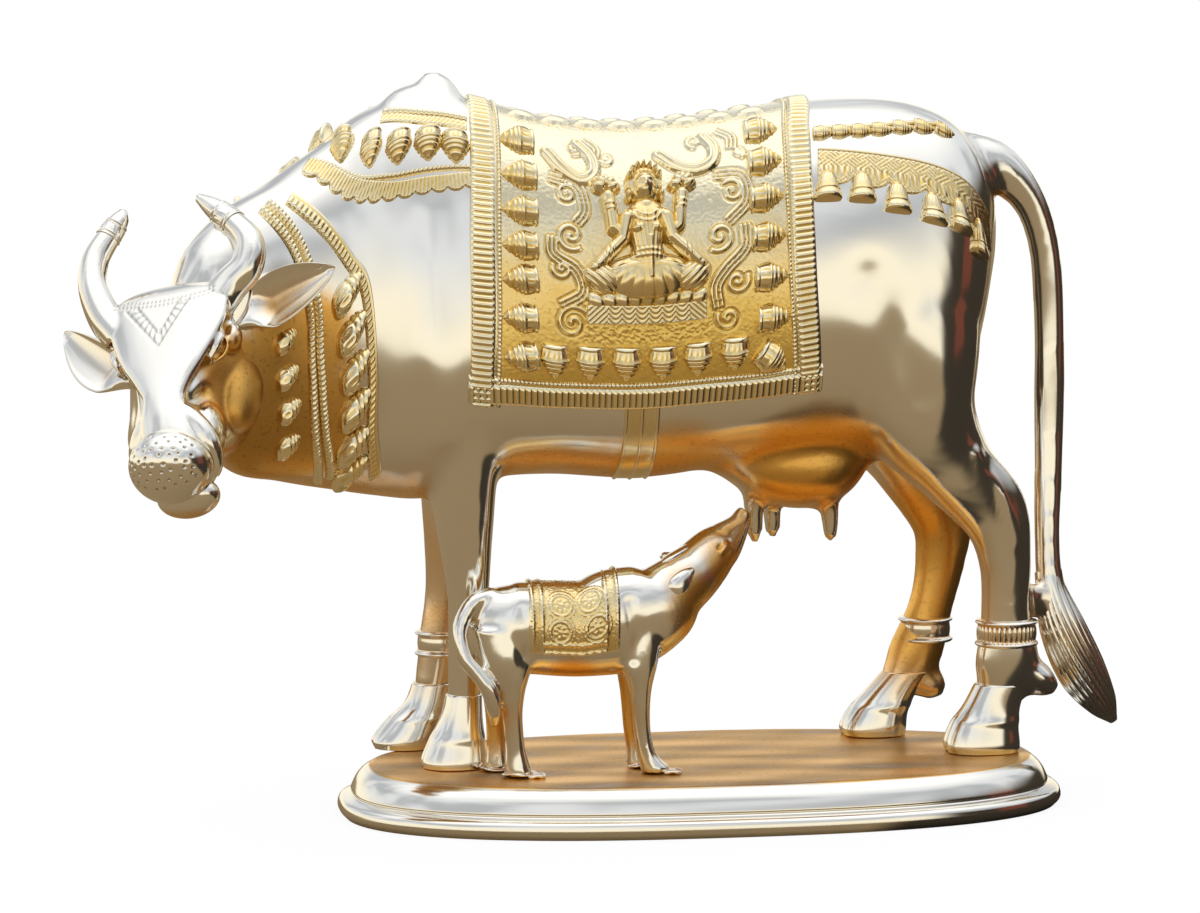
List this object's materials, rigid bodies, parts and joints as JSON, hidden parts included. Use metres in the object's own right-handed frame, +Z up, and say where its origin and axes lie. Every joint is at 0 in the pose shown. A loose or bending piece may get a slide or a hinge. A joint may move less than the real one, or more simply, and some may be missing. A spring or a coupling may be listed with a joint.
{
  "type": "cow and calf statue",
  "caption": "Cast brass cow in a saddle cloth and garlands of bells, head turned and lowered, with a suckling calf under its belly, on an oval moulded base.",
  "frame": {"origin": "middle of the flat underside of the oval base", "axes": "+X from the cow's head end to its tail along the base, +Y from the cow's left side to its right, +Z up"},
  "size_m": [0.3007, 0.106, 0.2068],
  "materials": {
    "cow_brass": "hand-polished cast brass, pale and bright on the high places, golden and duller in the recesses",
    "calf_brass": "hand-polished cast brass, golden in the recesses",
    "base_brass": "polished cast brass moulding with a rough golden brown top"
  },
  "bodies": {
    "root": {"cow": "cow_brass", "calf": "calf_brass", "oval_base": "base_brass"}
  },
  "joints": []
}
